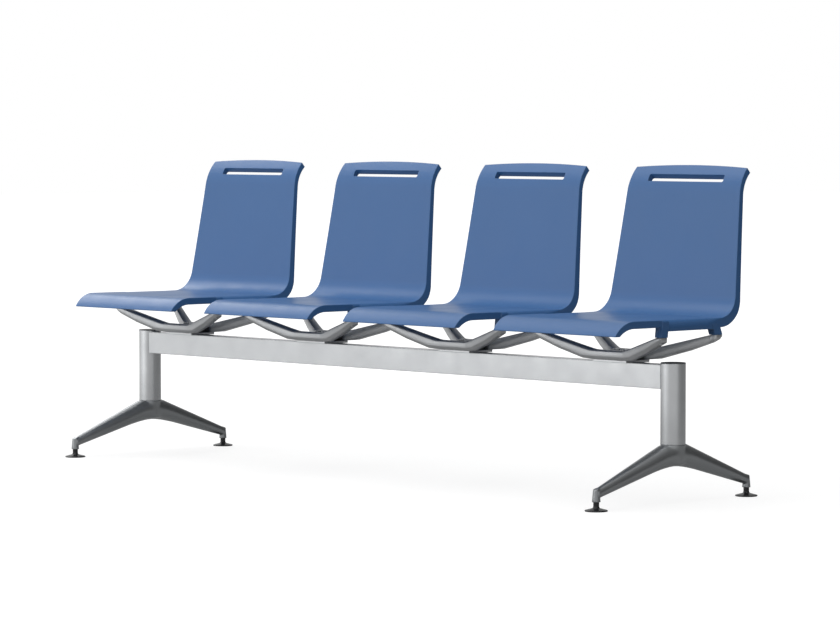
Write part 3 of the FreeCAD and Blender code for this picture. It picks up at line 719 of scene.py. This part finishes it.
first_shell = finished_shell()
first_spider = cast_spider()
for number in SEATS:
    node = "seat_shell_%d" % number
    shift = middle(node).x - middle("seat_shell_1").x
    stand_in(first_shell, "finished_shell_%d" % number, node, shift, blue_shell)
    node = "spider_%d" % number
    name = "cast_spider_%d" % number
    stand_in(first_spider, name, node, middle(node).x, spider_metal_painted_lit)
first_foot = cast_foot()
for side in SIDES:
    node = "foot_" + side
    stand_in(first_foot, "cast_foot_" + side, node, middle(node).x, cast_metal)
for pattern in (first_shell, first_spider, first_foot):
    remove(pattern)


# Stage: floor, light and camera.


def room_light(tree, x, y, source, output):
    """Brightness of the room in a direction: pale in front and on the left, dim on the right."""
    towards = add_node(tree, "ShaderNodeVectorMath", x, y, operation="DOT_PRODUCT")
    join(tree, source, output, towards, 0)
    towards.inputs[1].default_value = BRIGHT_SIDE
    span = band(tree, towards, "Value", x + 200, y, -1.0, 1.0)
    steps = add_node(tree, "ShaderNodeValToRGB", x + 400, y)
    join(tree, span, 0, steps, 0)
    while len(steps.color_ramp.elements) < len(ROOM_STEPS):
        steps.color_ramp.elements.new(0.5)
    for element, (place, level) in zip(steps.color_ramp.elements, ROOM_STEPS):
        element.position = place
        element.color = (level, level, level, 1.0)
    light = add_node(tree, "ShaderNodeMath", x + 700, y, operation="MULTIPLY")
    join(tree, steps, 0, light, 0)
    light.inputs[1].default_value = ROOM_LEVEL
    return light


def floor_glow(tree):
    """White for the eye, less of it under the object, and for a mirror the floor and the room."""
    spot = add_node(tree, "ShaderNodeTexCoord", -1800, -400)
    reach = add_node(tree, "ShaderNodeVectorMath", -1600, -400, operation="LENGTH")
    join(tree, spot, "Object", reach, 0)
    white = band(tree, reach, "Value", -500, -400, FLOOR_NEAR, FLOOR_FAR, FLOOR_LIFT, 1.0)
    open_floor = band(tree, reach, "Value", -500, -700, FLOOR_NEAR, FLOOR_FAR)
    way = add_node(tree, "ShaderNodeVectorMath", -1600, -1000, operation="NORMALIZE")
    join(tree, spot, "Object", way, 0)
    room = room_light(tree, -1400, -1000, way, 0)
    shown = add_node(tree, "ShaderNodeMix", -300, -700)
    join(tree, open_floor, 0, shown, 0)
    shown.inputs[2].default_value = NEAR_FLOOR
    join(tree, room, 0, shown, 3)

    rays = add_node(tree, "ShaderNodeLightPath", -300, -200)
    seen = add_node(tree, "ShaderNodeMath", -100, -200, operation="MULTIPLY")
    join(tree, rays, "Is Camera Ray", seen, 0)
    join(tree, white, 0, seen, 1)
    mirrored = add_node(tree, "ShaderNodeMath", -100, -400, operation="MULTIPLY")
    join(tree, rays, "Is Glossy Ray", mirrored, 0)
    join(tree, shown, 0, mirrored, 1)
    lift = add_node(tree, "ShaderNodeMath", 50, -200, operation="ADD")
    join(tree, seen, 0, lift, 0)
    join(tree, mirrored, 0, lift, 1)
    glow = add_node(tree, "ShaderNodeEmission", 200, -200)
    join(tree, lift, 0, glow, "Strength")
    return glow


def floor():
    """Pale floor that keeps the object's shadow."""
    clear_selection()
    bpy.ops.mesh.primitive_plane_add(size=60.0, location=(0.0, 0.0, 0.0))
    plane = bpy.context.object
    plane.name = "studio_floor"
    material, tree, shader = new_material("studio_floor")
    grain = noise(tree, -500, 300, scale=2.0)
    tone = band(tree, grain, 0, -300, 300, 0.3, 0.7, 0.0, 0.05)
    base = blend_colours(tree, -100, 300, tone, FLOOR_PALE, FLOOR_DULL)
    tree.links.new(base, shader.inputs["Base Color"])
    shader.inputs["Roughness"].default_value = 0.9
    shader.inputs["Specular IOR Level"].default_value = 0.1
    both = add_node(tree, "ShaderNodeAddShader", 400, 0)
    join(tree, shader, 0, both, 0)
    join(tree, floor_glow(tree), 0, both, 1)
    join(tree, both, 0, tree.nodes["Material Output"], "Surface")
    paint(plane, material)


def sky():
    """White for the eye, and the room for the object."""
    world = bpy.data.worlds.new("studio")
    bpy.context.scene.world = world
    world.use_nodes = True
    tree = world.node_tree
    tree.nodes.clear()
    rays = add_node(tree, "ShaderNodeLightPath", 500, 300)
    seen = add_node(tree, "ShaderNodeMath", 700, 300, operation="MAXIMUM")
    join(tree, rays, "Is Camera Ray", seen, 0)
    join(tree, rays, "Is Transmission Ray", seen, 1)
    place = add_node(tree, "ShaderNodeTexCoord", -200, 0)
    room = room_light(tree, 0, 0, place, "Generated")
    strength = add_node(tree, "ShaderNodeMix", 900, 0)
    join(tree, seen, 0, strength, 0)
    join(tree, room, 0, strength, 2)
    strength.inputs[3].default_value = 1.0
    back = add_node(tree, "ShaderNodeBackground", 1100, 0)
    back.inputs["Color"].default_value = (1.0, 1.0, 1.0, 1.0)
    join(tree, strength, 0, back, "Strength")
    output = add_node(tree, "ShaderNodeOutputWorld", 1300, 0)
    join(tree, back, 0, output, "Surface")


def area_light(name, place, aim, width, height, power, mirrored):
    """One soft box."""
    data = bpy.data.lights.new(name, "AREA")
    data.shape = "RECTANGLE"
    data.size = width
    data.size_y = height
    data.energy = power
    lamp = bpy.data.objects.new(name, data)
    bpy.context.scene.collection.objects.link(lamp)
    lamp.location = place
    lamp.visible_glossy = mirrored
    lamp.rotation_euler = (Vector(aim) - Vector(place)).to_track_quat("-Z", "Y").to_euler()


def camera():
    """The photographer's camera."""
    data = bpy.data.cameras.new("camera")
    data.lens = VIEW_LENS
    data.sensor_width = 36.0
    data.clip_end = 100.0
    view = bpy.data.objects.new("camera", data)
    bpy.context.scene.collection.objects.link(view)
    away = Vector((
        math.sin(VIEW_AZIMUTH) * math.cos(VIEW_ELEVATION),
        -math.cos(VIEW_AZIMUTH) * math.cos(VIEW_ELEVATION),
        math.sin(VIEW_ELEVATION),
    ))
    view.location = VIEW_TARGET + VIEW_DISTANCE * away
    view.rotation_euler = (-away).to_track_quat("-Z", "Y").to_euler()
    bpy.context.scene.camera = view


floor()
sky()
for name, settings in LAMPS.items():
    area_light(name, *settings)
camera()
bpy.context.scene.view_settings.view_transform = "Standard"
